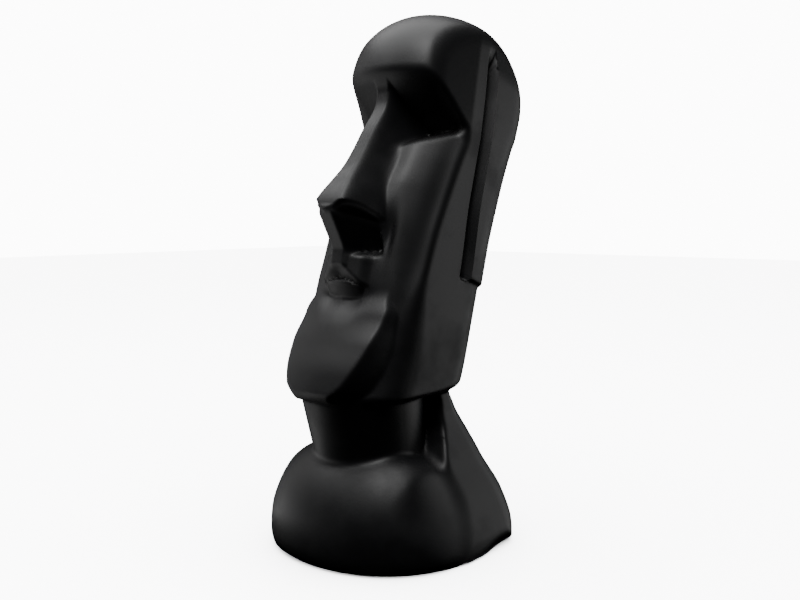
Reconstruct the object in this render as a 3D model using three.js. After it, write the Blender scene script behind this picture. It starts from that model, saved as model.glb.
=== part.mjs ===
// Moai head ornament, cast in one piece. Millimetres, +Z up, the figure looks along -Y.
// Origin: middle of the flat underside. The figure's own left side is +X.
// Pairs are a level up the head and the size there, unless their comment says otherwise.
import * as THREE from 'three';

// Base: round shoulders that spread to a flat foot
const BASE_HALF_WIDTH = 55;
const BASE_FRONT_DEPTH = 57;
const BASE_BACK_DEPTH = 54;
const BASE_SQUARENESS = 2.2;
const BASE_FULLNESS = 2.3;
const BASE_BELLY_Z = 8;
const BASE_FOOT_INSET = 1.8;
const BASE_FOOT_ROUNDING = 1.2;
const SHOULDER_RISE_FRONT = 49;
const SHOULDER_RISE_BACK = 38;
const SHOULDER_TURN_FROM_Y = -32;
const SHOULDER_TURN_TO_Y = 4;
const FLOOR_ROUNDING = 0.8;

// Neck: a short column that leans forward from the base to the jaw
const NECK_FOOT_Z = 46;
const NECK_TOP_Z = 76;
const NECK_FOOT_Y = -14;
const NECK_TOP_Y = -19.5;
const NECK_FOOT_HALF_WIDTH = 25.5;
const NECK_TOP_HALF_WIDTH = 27.5;
const NECK_FOOT_HALF_DEPTH = 28;
const NECK_TOP_HALF_DEPTH = 31;
const NECK_ROOT_Z = 10;
const NECK_JOIN = 1.2;

// Slab: the back of the neck, which spreads down to the foot. Pairs are Z and the size there
const SLAB_TOP_Z = 84;
const SLAB_HALF_WIDTH = [[-6, 54.5], [6, 54], [24, 47.6], [42, 39], [66, 29.5], [90, 28]];
const SLAB_CORNER_Y = [[-6, 31], [6, 32], [14, 33], [24, 32.5], [42, 27], [54, 23.5], [66, 18], [90, 6]];
const SLAB_BULGE = [[0, 23], [14, 20], [30, 14], [66, 8], [90, 6]];
const SLAB_FRONT_Y = [[24, -10], [44, -4], [52, 0], [60, 2.5], [84, 2.5]];
const SLAB_EDGE_ROUNDING = [[2, 5], [26, 12], [46, 1.4]];
const SLAB_CORNER_ROUNDING = 10;
const SLAB_CORNER_TURN_Y = 20;
const SLAB_JOIN = 6;

// Head frame: leans back about a point in the jaw. Level runs up the head, depth runs to its back
const LEAN = THREE.MathUtils.degToRad(16.5);
const LEAN_Y = -14;
const LEAN_Z = 72;
const JAW_Z = 74.5;
const JAW_ROUNDING = 3;
const JAW_BACK_ROUNDING = 5;
const JAW_BACK_FROM_DEPTH = 5;
const JAW_BACK_TO_DEPTH = 30;
const JAW_FRONT_ROUNDING = 6;
const JAW_FRONT_FROM_DEPTH = -16;
const JAW_FRONT_TO_DEPTH = -44;
const JAW_JOIN = 2;

// Dome of the skull, which spreads below the brow so that it only shapes the top
const DOME_LEVEL = 151;
const DOME_DEPTH = 8.5;
const DOME_HALF_WIDTH = 43.5;
const DOME_HALF_DEPTH = 46.8;
const DOME_RISE = 40.8;
const DOME_FULLNESS = 2.1;
const DOME_SPREAD = 20;
const DOME_SPREAD_FROM = 149;
const DOME_SPREAD_TO = 85;
const DOME_JOIN = 5;

// Flat sides, with the temples toed in above the sockets
const SIDE_HALF_WIDTH = 33;
const JAW_HALF_WIDTH = 32;
const JAW_WIDE_LEVEL = 30;
const TEMPLE_LEVEL = 130;
const TEMPLE_TAPER = 0.07;
const TEMPLE_TOE_IN = 0.2;
const TEMPLE_TOE_DEPTH = -2;
const TEMPLE_TOE_FROM = 122;
const TEMPLE_TOE_TO = 140;
const SIDE_ROUNDING = [[10, 9], [35, 6], [60, 2.2], [150, 2]];

// Ears: long slabs behind a slot
const EAR_HALF_WIDTH = 35;
const EAR_TOP = 174;
const EAR_BOTTOM = 62;
const EAR_TOP_FADE = 12;
const EAR_TOP_OVERRUN = 4;
const EAR_EDGE = 0.8;
const SLOT_CUT = 3.4;
const SLOT_WIDTH = 6;
const SLOT_SLOPE = 3.6;
const SLOT_EDGE = 0.6;
const SLOT_BACK = [[62, 14.8], [100, 12.4], [150, 12.2], [176, 11]];

// Back of the head, as depths
const BACK = [[-10, 36], [40, 36], [79, 36], [105, 37.8], [131, 41.5], [155, 51]];
const BACK_ROUNDING = 18;

// Cheeks, as heights in front of the head's axis, up to a rim under the eye sockets
const CHEEK_MIDDLE = [
  [-10, 32], [10, 32.5], [40, 32], [60, 32], [80, 33], [96, 31.5], [108, 28.3], [118, 25], [135, 19],
];
const CHEEK_EDGE = [[-10, 18], [44, 17.5], [62, 16], [75, 14.5], [93, 11], [112, 6.5], [130, 2]];
const CHEEK_FLAT = 11;
const CHEEK_TURN = 1.3;
const CHEEK_RIM_LEVEL = 117;
const CHEEK_RIM_SIDE = 11;
const CHEEK_RIM_LIFT = 0.62;
const CHEEK_RIM_SLOPE = 1.7;
const CHEEK_RIM_ROUNDING = 3;
const CHEEK_SWELLS = [
  { height: 0.9, side: 22.5, half: 4, level: 56, halfLevel: 22, taper: 0.12 },
  { height: -1, side: 29.5, half: 3, level: 92, halfLevel: 30, taper: 0 },
  { height: -0.8, side: 27.5, half: 4, level: 52, halfLevel: 20, taper: 0 },
  { height: -2, side: 10, half: 7, level: 41, halfLevel: 5.5, taper: 0 },
  { height: -2.5, side: 17, half: 2.6, level: 73, halfLevel: 10, taper: 0 },
  { height: -2, side: 12, half: 4, level: 108, halfLevel: 16, taper: 0 },
];

// Hollows beside the ridge under the nose
const HOLLOW_DEPTH = 8;
const HOLLOW_INNER = 3.8;
const HOLLOW_INNER_EASE = 3;
const HOLLOW_OUTER = 12;
const HOLLOW_OUTER_EASE = 2.5;
const HOLLOW_SPREAD = 0.22;
const HOLLOW_BOTTOM = 63.5;
const HOLLOW_BOTTOM_EASE = 1.5;
const HOLLOW_TOP = 76;

// Brow: a shelf that slopes back into the sockets. Above its edge it stands covered by the dome
const BROW_LEVEL = 147.6;
const BROW_LIFT = 2.5;
const BROW_LIFT_SIDE = 28;
const BROW_SLOPE = 1.45;
const BROW_OUTER_SLOPE = 0.95;
const BROW_OUTER_FROM = 23;
const BROW_OUTER_TO = 32;
const BROW_ROUNDING = 2;
const BROW_COVER = 3;
const BROW_JOIN = 7;

// Nose: a flat ridge, walls that swell into the wings, and an arched base
const NOSE_RIDGE = [
  [75, 54.5], [80, 54], [92, 48.7], [101, 44], [109, 40.8], [119, 37.4], [136, 31.5], [146, 32],
];
const NOSE_RIDGE_HALF = [[76, 6.5], [88, 5], [100, 4.2], [120, 4.2], [136, 4.6], [146, 5]];
const NOSE_RIDGE_ROUNDING = 2;
const NOSE_FOOT_HALF = [[74, 15.5], [84, 14.8], [96, 12.5], [110, 11], [136, 9.5], [146, 9]];
const NOSE_FOOT_HEIGHT = [[100, 26], [118, 21], [130, 12], [140, 6]];
const NOSE_WALL_BULGE = [[76, 2.4], [84, 2.1], [98, 1.2], [110, 1]];
const NOSE_UNDERCUT = 5;
const NOSE_UNDERCUT_ROUNDING = 1.2;
const NOSE_JOIN = 4;

// Rim of the nose's base, with a stepped edge. Pairs are the distance to the side and the level
const NOSE_BASE_RIM = [[0, 75], [4, 77.8], [8, 81.2], [11, 82], [13.5, 80.5], [15, 78.5], [18, 73]];
const NOSE_STEP = 2.2;
const NOSE_STEP_ROUNDING = 1.1;
const NOSE_STEP_FROM = 2;
const NOSE_STEP_TO = 6;
const NOSE_STEP_DROP = 3;
const NOSE_STEP_INNER = 5;
const NOSE_STEP_OUTER = 14;

// Ridge between the nose and the upper lip
const PHILTRUM_RIDGE = [[47, 37.5], [55, 40.2], [61, 41], [66, 45], [71, 50], [76, 54]];
const PHILTRUM_HALF = 4.4;
const PHILTRUM_SLOPE = 2.4;
const PHILTRUM_TOP = 78;
const PHILTRUM_TOP_SLOPE = 3;
const PHILTRUM_FOOT = 54.5;
const PHILTRUM_FOOT_SLOPE = 1.5;
const PHILTRUM_ROUNDING = 1.5;
const PHILTRUM_JOIN = 2;

// Upper lip with the round form above it, and the lower lip's thin edge
const MUZZLE_HEIGHT = 39.6;
const MUZZLE_CURVE = 0.036;
const MUZZLE_HALF = 12.5;
const MUZZLE_SIDE_SLOPE = 2;
const MUZZLE_TOP = 61;
const MUZZLE_TOP_SLOPE = 3;
const MUZZLE_ROUNDING = 3;
const MUZZLE_JOIN = 2;
const LIP_PEAK = 56.5;
const LIP_PEAK_HALF = 1.5;
const LIP_SLANT = 0.72;
const LIP_UNDER = 0.85;
const LIP_ROUNDING = 1.2;
const MOUTH_LEVEL = 48.3;
const MOUTH_DROOP = 0.008;
const MOUTH_HALF = 11;
const MOUTH_CUT_SLOPE = 3;
const MOUTH_END_SLOPE = 2.5;
const LOWER_LIP_HEIGHT = 37.6;
const LOWER_LIP_SLOPE = 0.95;
const LOWER_LIP_GAP = 0.9;
const LOWER_LIP_TOP_SLOPE = 4;
const LOWER_LIP_JOIN = 0.8;

// Chin: a broad slab that narrows downwards
const CHIN_FRONT = [[-12, 40], [-4, 42.5], [4, 42], [19, 38.7], [33, 35.6], [48, 33]];
const CHIN_HALF = [[-7, 11.5], [-1, 17], [9, 21.2], [18, 23.4], [28, 24.8], [36, 25.2], [43, 23]];
const CHIN_CURVE = [[-4, 0.005], [4, 0.006], [19, 0.0064], [33, 0.0105]];
const CHIN_EDGE_SLOPE = 3.5;
const CHIN_EDGE_ROUNDING = 1.6;
const CHIN_TOP_LEVEL = 41;
const CHIN_TOP_SAG = 8;
const CHIN_TOP_HALF = 13;
const CHIN_TOP_SLOPE = 0.5;
const CHIN_TOP_ROUNDING = 7;
const CHIN_JOIN = 2;

// The face's heights count a little less than full distances, since its walls are steep
const FACE_SCALE = 0.75;

// Lattice of the surface, and how much closer its columns stand over the face and the slots
const COLUMNS = 80;
const ROWS = 61;
const RAY_START = 10;
const RAY_STEP = 1.2;
const RAY_END = 110;
const FACE_CROWD = 1.5;
const FACE_CROWD_DEGREES = 38;
const SLOT_CROWD = 1.6;
const SLOT_CROWD_DEGREES = 11;
const SLOT_DEGREES = 108;
const SLOT_MIDDLE_DEPTH = 12.9;
const SLOT_TURN_DEGREES = 22;
const TOP_RAY_RISE = 40;

// Eased step from 0 to 1
function ease(from, to, value) {
  const t = THREE.MathUtils.clamp((value - from) / (to - from), 0, 1);
  return t * t * (3 - 2 * t);
}

// Slopes of a smooth curve at its stations, flat at the ends and where the values turn
function stationSlopes(stations) {
  const steps = stations.slice(1).map(([level, value], place) => {
    const [lowLevel, low] = stations[place];
    return (value - low) / (level - lowLevel);
  });
  const inner = steps.slice(1).map((above, place) => {
    const below = steps[place];
    return below * above > 0 ? (2 * below * above) / (below + above) : 0;
  });
  return [0, ...inner, 0];
}
const slopesOf = new Map();

// Value at a level, on a smooth curve through the stations that never overshoots them
function along(stations, level) {
  const next = stations.findIndex((station) => station[0] > level);
  if (next === 0) return stations[0][1];
  if (next < 0) return stations.at(-1)[1];
  const [lowLevel, low] = stations[next - 1];
  const [highLevel, high] = stations[next];
  if (!slopesOf.has(stations)) slopesOf.set(stations, stationSlopes(stations));
  const slopes = slopesOf.get(stations);
  const span = highLevel - lowLevel;
  const t = (level - lowLevel) / span;
  const rise = low + (high - low) * t * t * (3 - 2 * t);
  const startTurn = slopes[next - 1] * span * t * (1 - t) ** 2;
  const endTurn = slopes[next] * span * t * t * (t - 1);
  return rise + startTurn + endTurn;
}

// The larger or smaller of two values, with a rounded change from one to the other
function softMax(a, b, rounding) {
  const near = Math.max(rounding - Math.abs(a - b), 0);
  return Math.max(a, b) + (near * near) / (4 * rounding);
}
const softMin = (a, b, rounding) => -softMax(-a, -b, rounding);

const { lerp } = THREE.MathUtils;
const cosLean = Math.cos(LEAN);
const sinLean = Math.sin(LEAN);
const levelOf = (y, z) => (y - LEAN_Y) * sinLean + (z - LEAN_Z) * cosLean;

// The face, as heights in front of the head's axis. Side is the distance from the middle plane
function swellHeight(swell, side, level) {
  const across = (side - swell.side + swell.taper * (level - swell.level)) / swell.half;
  const up = (level - swell.level) / swell.halfLevel;
  return swell.height * Math.exp(-(across ** 2) - up ** 2);
}

function hollowDepth(side, level) {
  const outer = HOLLOW_OUTER + HOLLOW_SPREAD * (HOLLOW_TOP - level);
  const inside = ease(HOLLOW_INNER, HOLLOW_INNER + HOLLOW_INNER_EASE, side);
  const outside = ease(outer + HOLLOW_OUTER_EASE, outer - HOLLOW_OUTER_EASE, side);
  const bottom = ease(HOLLOW_BOTTOM - HOLLOW_BOTTOM_EASE, HOLLOW_BOTTOM + HOLLOW_BOTTOM_EASE, level);
  return HOLLOW_DEPTH * inside * outside * bottom;
}

function cheekHeight(side, level) {
  const middle = along(CHEEK_MIDDLE, level);
  const turn = (Math.max(side - CHEEK_FLAT, 0) / (SIDE_HALF_WIDTH - CHEEK_FLAT)) ** CHEEK_TURN;
  const plain = middle - (middle - along(CHEEK_EDGE, level)) * turn;
  const rim = CHEEK_RIM_LEVEL + CHEEK_RIM_LIFT * (side - CHEEK_RIM_SIDE);
  const socketFloor = CHEEK_RIM_SLOPE * softMax(level - rim, 0, CHEEK_RIM_ROUNDING);
  const swells = CHEEK_SWELLS.reduce((sum, swell) => sum + swellHeight(swell, side, level), 0);
  return plain - socketFloor - hollowDepth(side, level) + swells;
}

function browHeight(side, level) {
  const forehead = DOME_HALF_DEPTH * Math.sqrt(Math.max(1 - (side / DOME_HALF_WIDTH) ** 2, 0)) - DOME_DEPTH;
  const edge = BROW_LEVEL + BROW_LIFT * (side / BROW_LIFT_SIDE) ** 2;
  const slope = lerp(BROW_SLOPE, BROW_OUTER_SLOPE, ease(BROW_OUTER_FROM, BROW_OUTER_TO, side));
  return forehead + BROW_COVER - slope * softMax(edge + BROW_COVER / slope - level, 0, BROW_ROUNDING);
}

function noseHeight(side, level) {
  const ridge = along(NOSE_RIDGE, level);
  const half = along(NOSE_RIDGE_HALF, level);
  const out = softMax(side - half, 0, NOSE_RIDGE_ROUNDING) / (along(NOSE_FOOT_HALF, level) - half);
  const fall = (ridge - along(NOSE_FOOT_HEIGHT, level)) * out ** along(NOSE_WALL_BULGE, level);
  const below = along(NOSE_BASE_RIM, side) - level;
  const step = NOSE_STEP * ease(0, NOSE_STEP_ROUNDING, below) * ease(NOSE_STEP_FROM, NOSE_STEP_TO, side);
  const edge = ease(NOSE_STEP_INNER - 2, NOSE_STEP_INNER + 1, side)
    * ease(NOSE_STEP_OUTER + 2, NOSE_STEP_OUTER - 1, side);
  const undercut = NOSE_UNDERCUT * softMax(below - NOSE_STEP_DROP * edge, 0, NOSE_UNDERCUT_ROUNDING);
  return ridge - fall - step - undercut;
}

function philtrumHeight(side, level) {
  const drop = PHILTRUM_SLOPE * softMax(side - PHILTRUM_HALF, 0, PHILTRUM_ROUNDING);
  const foot = PHILTRUM_FOOT_SLOPE * Math.max(PHILTRUM_FOOT - level, 0);
  const top = PHILTRUM_TOP_SLOPE * Math.max(level - PHILTRUM_TOP, 0);
  return along(PHILTRUM_RIDGE, level) - drop - foot - top;
}

const mouthLine = (side) => MOUTH_LEVEL - MOUTH_DROOP * side ** 2;

function upperLipHeight(side, level) {
  const sideFall = MUZZLE_SIDE_SLOPE * softMax(side - MUZZLE_HALF, 0, MUZZLE_ROUNDING);
  const topFall = MUZZLE_TOP_SLOPE * softMax(level - MUZZLE_TOP, 0, MUZZLE_ROUNDING);
  const border = LIP_PEAK - LIP_SLANT * Math.hypot(side, LIP_PEAK_HALF);
  const under = LIP_UNDER * softMax(border - level, 0, LIP_ROUNDING);
  const closed = MOUTH_CUT_SLOPE * Math.max(mouthLine(side) - level, 0);
  return MUZZLE_HEIGHT - MUZZLE_CURVE * side ** 2 - sideFall - topFall - under - closed;
}

function lowerLipHeight(side, level) {
  const below = mouthLine(side) - LOWER_LIP_GAP - level;
  const ends = MOUTH_END_SLOPE * Math.max(side - MOUTH_HALF, 0);
  const fall = LOWER_LIP_SLOPE * Math.max(below, 0) + LOWER_LIP_TOP_SLOPE * Math.max(-below, 0);
  return LOWER_LIP_HEIGHT - MUZZLE_CURVE * side ** 2 - ends - fall;
}

function chinHeight(side, level) {
  const edge = CHIN_EDGE_SLOPE * softMax(side - along(CHIN_HALF, level), 0, CHIN_EDGE_ROUNDING);
  const topEdge = CHIN_TOP_LEVEL - CHIN_TOP_SAG * Math.exp(-((side / CHIN_TOP_HALF) ** 4));
  const top = CHIN_TOP_SLOPE * softMax(level - topEdge, 0, CHIN_TOP_ROUNDING);
  return along(CHIN_FRONT, level) - along(CHIN_CURVE, level) * side ** 2 - edge - top;
}

function faceHeight(side, level) {
  let height = softMax(cheekHeight(side, level), browHeight(side, level), BROW_JOIN);
  height = softMax(height, noseHeight(side, level), NOSE_JOIN);
  height = softMax(height, philtrumHeight(side, level), PHILTRUM_JOIN);
  height = softMax(height, chinHeight(side, level), CHIN_JOIN);
  height = softMax(height, upperLipHeight(side, level), MUZZLE_JOIN);
  return softMax(height, lowerLipHeight(side, level), LOWER_LIP_JOIN);
}

// Half-width of the head, with the ear, the slot in front of it and the flat temple
function sideWidth(depth, level) {
  const jaw = (SIDE_HALF_WIDTH - JAW_HALF_WIDTH) * ease(JAW_WIDE_LEVEL, 0, level);
  const temple = TEMPLE_TAPER * Math.max(level - TEMPLE_LEVEL, 0);
  const toeIn = Math.max(TEMPLE_TOE_DEPTH - depth, 0) * ease(TEMPLE_TOE_FROM, TEMPLE_TOE_TO, level);
  const back = along(SLOT_BACK, level);
  const front = back - SLOT_WIDTH;
  const lower = ease(EAR_BOTTOM - EAR_EDGE, EAR_BOTTOM + EAR_EDGE, level);
  const upper = ease(EAR_TOP + EAR_TOP_OVERRUN, EAR_TOP - EAR_TOP_FADE, level);
  const pastSlot = ease(back - SLOT_EDGE, back + SLOT_EDGE, depth);
  const ear = (EAR_HALF_WIDTH - SIDE_HALF_WIDTH) * pastSlot;
  const slot = SLOT_CUT * ease(front, front + SLOT_SLOPE, depth) * (1 - pastSlot);
  return SIDE_HALF_WIDTH - jaw - temple - TEMPLE_TOE_IN * toeIn + (ear - slot) * lower * upper;
}

// Each form is below zero inside itself, above zero outside, about in millimetres
function domeForm(x, depth, level) {
  const up = Math.max(level - DOME_LEVEL, 0) / DOME_RISE;
  const around = Math.hypot(x / DOME_HALF_WIDTH, (depth - DOME_DEPTH) / DOME_HALF_DEPTH);
  const reach = (around ** DOME_FULLNESS + up ** DOME_FULLNESS) ** (1 / DOME_FULLNESS);
  const spread = DOME_SPREAD * ease(DOME_SPREAD_FROM, DOME_SPREAD_TO, level);
  return (reach - 1) * DOME_HALF_WIDTH - spread;
}

function jawRounding(depth) {
  const back = (JAW_BACK_ROUNDING - JAW_ROUNDING) * ease(JAW_BACK_FROM_DEPTH, JAW_BACK_TO_DEPTH, depth);
  const front = (JAW_FRONT_ROUNDING - JAW_ROUNDING) * ease(JAW_FRONT_FROM_DEPTH, JAW_FRONT_TO_DEPTH, depth);
  return JAW_ROUNDING + back + front;
}

function headForm(x, y, z) {
  const depth = (y - LEAN_Y) * cosLean - (z - LEAN_Z) * sinLean;
  const level = levelOf(y, z);
  const front = FACE_SCALE * (-depth - faceHeight(Math.abs(x), level));
  const flank = Math.abs(x) - sideWidth(depth, level);
  const sides = softMax(front, flank, along(SIDE_ROUNDING, level));
  const shell = softMax(sides, depth - along(BACK, level), BACK_ROUNDING);
  const skull = softMax(shell, domeForm(x, depth, level), DOME_JOIN);
  return softMax(skull, JAW_Z - z, jawRounding(depth));
}

function neckForm(x, y, z) {
  const up = (z - NECK_FOOT_Z) / (NECK_TOP_Z - NECK_FOOT_Z);
  const middle = lerp(NECK_FOOT_Y, NECK_TOP_Y, up);
  const halfWidth = lerp(NECK_FOOT_HALF_WIDTH, NECK_TOP_HALF_WIDTH, up);
  const halfDepth = lerp(NECK_FOOT_HALF_DEPTH, NECK_TOP_HALF_DEPTH, up);
  const around = (Math.hypot(x / halfWidth, (y - middle) / halfDepth) - 1) * halfWidth;
  return Math.max(around, z - NECK_TOP_Z, NECK_ROOT_Z - z);
}

function slabForm(x, y, z) {
  const back = along(SLAB_CORNER_Y, z) + along(SLAB_BULGE, z) * (1 - (x / along(SLAB_HALF_WIDTH, z)) ** 2);
  return Math.max(y - back, along(SLAB_FRONT_Y, z) - y, z - SLAB_TOP_Z, -z);
}

function baseForm(x, y, z) {
  const turn = ease(SHOULDER_TURN_FROM_Y, SHOULDER_TURN_TO_Y, y);
  const up = Math.max(z - BASE_BELLY_Z, 0) / lerp(SHOULDER_RISE_FRONT, SHOULDER_RISE_BACK, turn);
  const tuck = BASE_FOOT_INSET * (Math.max(BASE_BELLY_Z - z, 0) / BASE_BELLY_Z) ** 2;
  const halfDepth = y < 0 ? BASE_FRONT_DEPTH : BASE_BACK_DEPTH;
  const [across, back] = [Math.abs(x) / BASE_HALF_WIDTH, Math.abs(y) / halfDepth];
  const plan = across ** BASE_SQUARENESS + back ** BASE_SQUARENESS;
  const reach = plan ** (BASE_FULLNESS / BASE_SQUARENESS);
  const round = ((reach + up ** BASE_FULLNESS) ** (1 / BASE_FULLNESS) - 1) * BASE_HALF_WIDTH;
  return softMax(round + tuck, -z, BASE_FOOT_ROUNDING);
}

function figureForm({ x, y, z }) {
  const flank = Math.abs(x) - along(SLAB_HALF_WIDTH, z);
  const turn = ease(0, SLAB_CORNER_TURN_Y, y);
  const flankRounding = lerp(along(SLAB_EDGE_ROUNDING, z), SLAB_CORNER_ROUNDING, turn);
  const foot = softMax(softMin(slabForm(x, y, z), baseForm(x, y, z), SLAB_JOIN), flank, flankRounding);
  const body = softMin(foot, neckForm(x, y, z), NECK_JOIN);
  return softMax(softMin(body, headForm(x, y, z), JAW_JOIN), -z, FLOOR_ROUNDING);
}

// Point where a ray from inside the figure comes out of it
function surfacePoint(origin, direction) {
  const point = new THREE.Vector3();
  const isInside = (reach) => figureForm(point.copy(direction).multiplyScalar(reach).add(origin)) < 0;
  let inner = RAY_START;
  while (inner < RAY_END && isInside(inner + RAY_STEP)) inner += RAY_STEP;
  let outer = inner + RAY_STEP;
  for (let halving = 0; halving < 16; halving += 1) {
    const middle = (inner + outer) / 2;
    if (isInside(middle)) inner = middle;
    else outer = middle;
  }
  return point.copy(direction).multiplyScalar(inner).add(origin).clone();
}

// Key rows of rays, from the top of the skull to the underside. Each holds its row, where its rays
// start (Y and Z), how far they point up in degrees and how much of the head's lean they share
const inHead = (level) => [LEAN_Y + level * sinLean, LEAN_Z + level * cosLean];
const KEY_ROWS = [
  [0, ...inHead(DOME_LEVEL), 90, 1],
  [9, ...inHead(DOME_LEVEL), 4, 1],
  [13.5, ...inHead(DOME_LEVEL - 9), 0, 1],
  [18.5, ...inHead(DOME_LEVEL - 27), 0, 1],
  [23, ...inHead(94), 0, 1],
  [30, ...inHead(70), 0, 1],
  [32, ...inHead(60), 0, 1],
  [38, ...inHead(40), 0, 1],
  [42, ...inHead(16), -4, 0.9],
  [46, -4, 84, -18, 0.42],
  [48.5, 5, 80, -24, 0.2],
  [51, 13, 66, -12, 0],
  [53.5, 14, 44, 6, 0],
  [58, 0, 20, -6, 0],
  [59, 0, 20, -14, 0],
  [60, 0, 20, -18.5, 0],
  [61, 0, 20, -90, 0],
];

function rowRays(row) {
  const next = Math.max(KEY_ROWS.findIndex((key) => key[0] >= row), 1);
  const low = KEY_ROWS[next - 1];
  const high = KEY_ROWS[next];
  const t = (row - low[0]) / (high[0] - low[0]);
  const [, y, z, pitch, share] = low.map((value, place) => lerp(value, high[place], t));
  return { origin: new THREE.Vector3(0, y, z), pitch: THREE.MathUtils.degToRad(pitch), lean: LEAN * share };
}

// Directions of the columns, from the back round by the figure's right
function columnAngles() {
  const crowding = (angle) => 1 + FACE_CROWD * Math.exp(-((angle / FACE_CROWD_DEGREES) ** 2))
    + SLOT_CROWD * Math.exp(-(((Math.abs(angle) - SLOT_DEGREES) / SLOT_CROWD_DEGREES) ** 2));
  const sums = [0];
  for (let angle = -180; angle < 180; angle += 1) sums.push(sums.at(-1) + crowding(angle + 0.5));
  const angles = [];
  for (let column = 0; column < COLUMNS; column += 1) {
    const target = (sums.at(-1) * column) / COLUMNS;
    const next = Math.max(sums.findIndex((sum) => sum >= target), 1);
    const t = (target - sums[next - 1]) / (sums[next] - sums[next - 1]);
    angles.push(THREE.MathUtils.degToRad(next - 1 + t - 180));
  }
  return angles;
}

// The same direction, turned near the ear slots so that the columns run along them
function slotTurned(angle, level) {
  const floor = SIDE_HALF_WIDTH - SLOT_CUT;
  const shift = Math.atan2(along(SLOT_BACK, level), floor) - Math.atan2(SLOT_MIDDLE_DEPTH, floor);
  const apart = THREE.MathUtils.radToDeg(Math.abs(angle)) - SLOT_DEGREES;
  return angle + Math.sign(angle) * shift * Math.exp(-((apart / SLOT_TURN_DEGREES) ** 2));
}

// Faces of the lattice, each square split along its shorter diagonal
function latticeFaces(places) {
  const points = [0, 1, 2, 3].map(() => new THREE.Vector3());
  const faces = [];
  for (let row = 0; row < ROWS; row += 1) {
    for (let column = 0; column < COLUMNS; column += 1) {
      const right = row * (COLUMNS + 1) + column + 1;
      const corners = [right, right - 1, right + COLUMNS, right + COLUMNS + 1];
      points.forEach((point, place) => point.fromBufferAttribute(places, corners[place]));
      const [a, b, c, d] = corners;
      if (row === 0) faces.push(b, c, d);
      else if (row === ROWS - 1) faces.push(a, b, d);
      else {
        const isFirstShorter = points[0].distanceTo(points[2]) < points[1].distanceTo(points[3]);
        faces.push(...(isFirstShorter ? [a, b, c, a, c, d] : [a, b, d, b, c, d]));
      }
    }
  }
  return faces;
}

// A sphere's lattice, each vertex moved out to the figure's surface
function carvedSkin() {
  const skin = new THREE.SphereGeometry(1, COLUMNS, ROWS);
  const places = skin.getAttribute('position');
  const angles = columnAngles();
  const across = new THREE.Vector3(1, 0, 0);
  for (let row = 0; row <= ROWS; row += 1) {
    const { origin, pitch, lean } = rowRays(row);
    const isPole = row === 0 || row === ROWS;
    const flat = isPole ? 0 : Math.cos(pitch);
    const level = levelOf(origin.y, origin.z) + TOP_RAY_RISE * Math.sin(Math.max(pitch, 0));
    for (let column = 0; column <= COLUMNS; column += 1) {
      const angle = slotTurned(angles[column % COLUMNS], level);
      const direction = new THREE.Vector3(flat * Math.sin(angle), -flat * Math.cos(angle), Math.sin(pitch));
      const point = surfacePoint(origin, direction.applyAxisAngle(across, -lean));
      if (row >= ROWS - 1) point.z = 0;
      places.setXYZ(row * (COLUMNS + 1) + column, point.x, point.y, point.z);
    }
  }
  skin.setIndex(latticeFaces(places));
  skin.computeVertexNormals();
  return skin;
}

const statue = new THREE.Mesh(
  carvedSkin(),
  new THREE.MeshStandardMaterial({ color: '#17171a', roughness: 0.5, metalness: 0 }),
);
statue.name = 'moai_statue';

const group = new THREE.Group();
group.add(statue);

export default group;
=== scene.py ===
"""Moai head ornament: the fine surface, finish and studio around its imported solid.

The ornament is one hollow-eyed head on a short neck and round shoulders, cast in one piece in
matte black resin. The figure looks along -Y, and its own left side is +X. Sizes are in
millimetres until they reach a mesh, which is in metres.
"""
import logging
import math
from dataclasses import dataclass, field
from enum import Enum

import bpy
import numpy as np
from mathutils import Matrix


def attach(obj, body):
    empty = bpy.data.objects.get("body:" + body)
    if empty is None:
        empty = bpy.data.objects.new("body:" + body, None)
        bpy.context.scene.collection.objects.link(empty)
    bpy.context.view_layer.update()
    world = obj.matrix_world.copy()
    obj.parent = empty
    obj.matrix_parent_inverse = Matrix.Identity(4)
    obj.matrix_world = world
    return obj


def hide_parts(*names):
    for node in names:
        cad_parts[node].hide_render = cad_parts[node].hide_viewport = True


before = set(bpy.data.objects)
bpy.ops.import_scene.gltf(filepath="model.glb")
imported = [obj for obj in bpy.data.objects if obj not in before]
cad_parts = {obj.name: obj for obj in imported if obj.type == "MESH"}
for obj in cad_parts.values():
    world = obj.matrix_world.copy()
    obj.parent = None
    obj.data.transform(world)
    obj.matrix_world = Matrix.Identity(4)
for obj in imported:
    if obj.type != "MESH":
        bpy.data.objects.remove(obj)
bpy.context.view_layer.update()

log = logging.getLogger("moai")

Array = np.ndarray

NODE = "moai_statue"
MM = 0.001


def ease(start: float | Array, end: float | Array, value: Array) -> Array:
    """Step smoothly from 0 to 1.

    Args:
        start: Where the step begins.
        end: Where it ends, above or below the start.
        value: The places to read it at.

    Returns:
        The step at each place.
    """
    t = np.clip((value - start) / (end - start), 0.0, 1.0)
    return t * t * (3.0 - 2.0 * t)


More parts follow.
